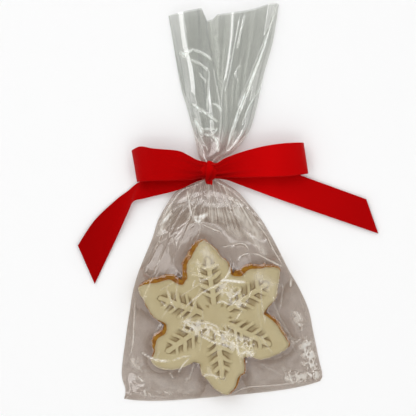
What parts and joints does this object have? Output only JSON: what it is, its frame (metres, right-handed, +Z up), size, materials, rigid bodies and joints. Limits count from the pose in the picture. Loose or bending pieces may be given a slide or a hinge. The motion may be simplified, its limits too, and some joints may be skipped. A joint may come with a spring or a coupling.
{
  "type": "bagged dog biscuit",
  "caption": "Snowflake dog biscuit with embossed ivory icing, in a clear film bag lying flat, its gathered neck tied with a red ribbon bow.",
  "frame": {"origin": "on the table under the middle of the biscuit, on the flat underside of the pouch", "axes": "+Y up the bag from the hem to the open tuft, +X to the right seen from above, +Z up out of the table"},
  "size_m": [0.1917, 0.2536, 0.0156],
  "materials": {
    "clear_film": "thin crinkled clear film, glossy",
    "satin_ribbon": "satin weave",
    "baked_biscuit": "baked golden-brown dough, matt",
    "ivory_icing": "smooth rolled icing with a pressed pattern, satin"
  },
  "bodies": {
    "root": {"bag": "clear_film", "ribbon_bow": "satin_ribbon"}
  },
  "joints": []
}
